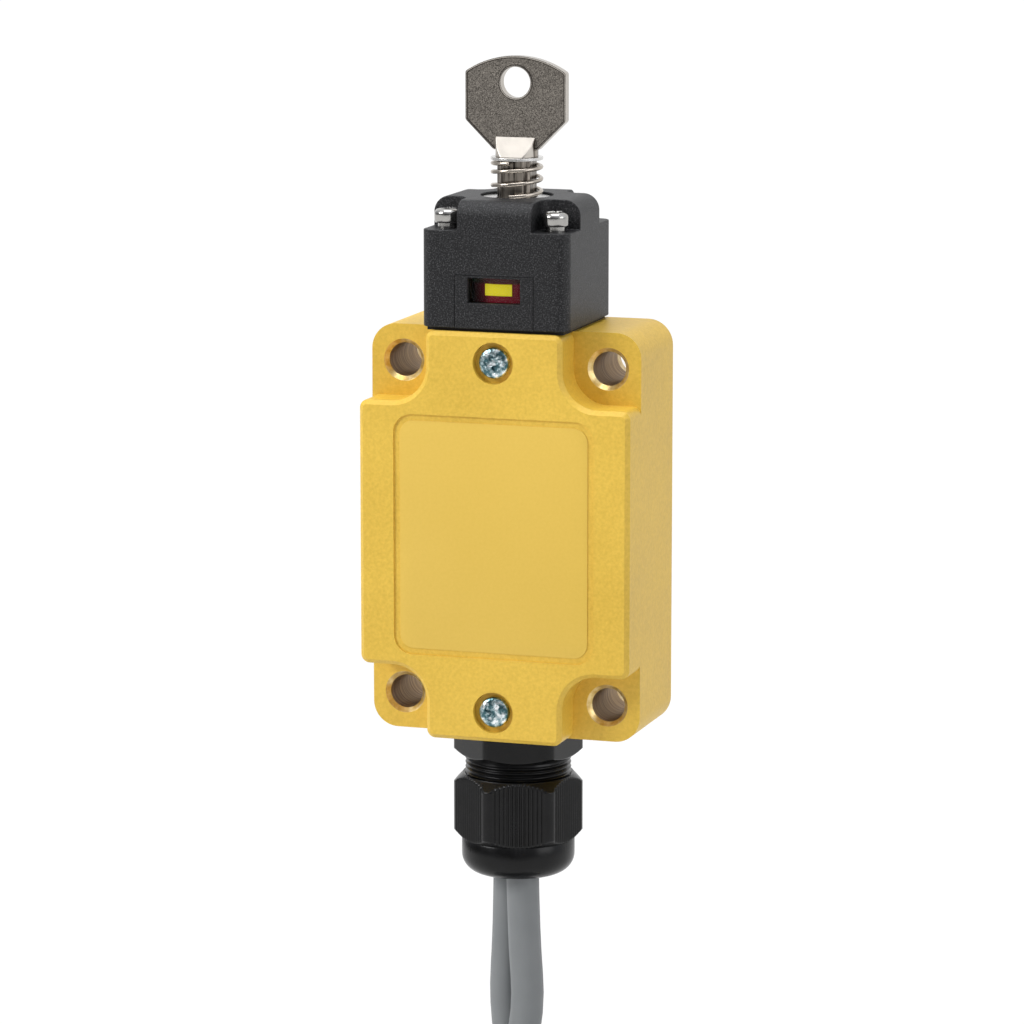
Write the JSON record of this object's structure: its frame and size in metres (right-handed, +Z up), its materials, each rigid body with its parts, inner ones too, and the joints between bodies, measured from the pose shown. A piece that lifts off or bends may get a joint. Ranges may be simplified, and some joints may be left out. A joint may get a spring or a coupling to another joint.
{
  "type": "safety switch",
  "caption": "Key-operated safety switch: die-cast body with corner lugs, moulded key head with indicator window, sprung key, cable gland and two leads.",
  "frame": {"origin": "centre of the four mounting holes, on the flat back face", "axes": "+X right seen from the front, +Y into the wall, so the front faces -Y, +Z up along the key's axis"},
  "size_m": [0.0952, 0.049, 0.325],
  "materials": {
    "cast_yellow": "powder-coated zinc casting",
    "black_moulding": "fine-grained glass-filled moulding",
    "gland_black": "smooth polyamide moulding",
    "cable_grey": "matt cable sheath",
    "key_steel": "blasted stainless steel",
    "bright_steel": "bright turned steel",
    "zinc_screw": "zinc-plated steel",
    "spring_steel": "drawn spring wire",
    "seal_rubber": "black nitrile rubber",
    "drum_red": "red moulding",
    "flag_yellow": "yellow printed flag",
    "clear_pane": "clear polycarbonate",
    "contact_brass": "bare brass strip",
    "block_grey": "grey moulded block",
    "white_nylon": "natural nylon"
  },
  "bodies": {
    "housing": {"block_screws": "zinc_screw", "carrier_spring": "spring_steel", "coil_ties": "gland_black", "contact_block": "block_grey", "cover_gasket": "seal_rubber", "cover_screws": "zinc_screw", "earth_screw": "zinc_screw", "front_coil": "cable_grey", "front_cover": "cast_yellow", "front_lead": "cable_grey", "front_lead_inside": "cable_grey", "gland_body": "gland_black", "gland_cage": "gland_black", "gland_insert": "seal_rubber", "gland_nut": "gland_black", "gland_washer": "seal_rubber", "head_base_plate": "bright_steel", "head_gasket": "seal_rubber", "head_housing": "black_moulding", "head_screws": "bright_steel", "housing": "cast_yellow", "indicator_frame": "black_moulding", "indicator_lens": "clear_pane", "left_closed_contact": "contact_brass", "left_opened_contact": "contact_brass", "plunger_seal": "seal_rubber", "rear_coil": "cable_grey", "rear_lead": "cable_grey", "rear_lead_inside": "cable_grey", "right_closed_contact": "contact_brass", "right_opened_contact": "contact_brass", "terminal_clamps": "zinc_screw", "terminal_screws": "zinc_screw"},
    "rotor": {"indicator_drum": "drum_red", "indicator_flag": "flag_yellow", "return_spring": "spring_steel", "rotor_barrel": "bright_steel", "spring_seat": "bright_steel"},
    "key": {"end_clip": "spring_steel", "key_bow": "key_steel", "key_shank": "bright_steel", "spring_clip": "spring_steel"},
    "plunger": {"closed_bridge": "contact_brass", "contact_carrier": "white_nylon", "opened_bridge": "contact_brass", "plunger": "bright_steel"}
  },
  "joints": [
    {"name": "key_turn", "type": "hinge", "parent": "housing", "child": "rotor", "pos_m": [0, -0.0155, 0], "axis": [0, 0, -1], "range_deg": [0, 90]},
    {"name": "key_press", "type": "slide", "parent": "rotor", "child": "key", "axis": [0, 0, -1], "range_m": [0, 0.003], "stiffness_N_per_m": 800, "springref_m": -0.004, "deforming": ["return_spring"]},
    {"name": "plunger_slide", "type": "slide", "parent": "housing", "child": "plunger", "axis": [0, 0, -1], "range_m": [0, 0.003], "deforming": ["carrier_spring"]}
  ],
  "couplings": [
    {"joint": "plunger_slide", "follows": "key_press", "ratio": 1}
  ]
}
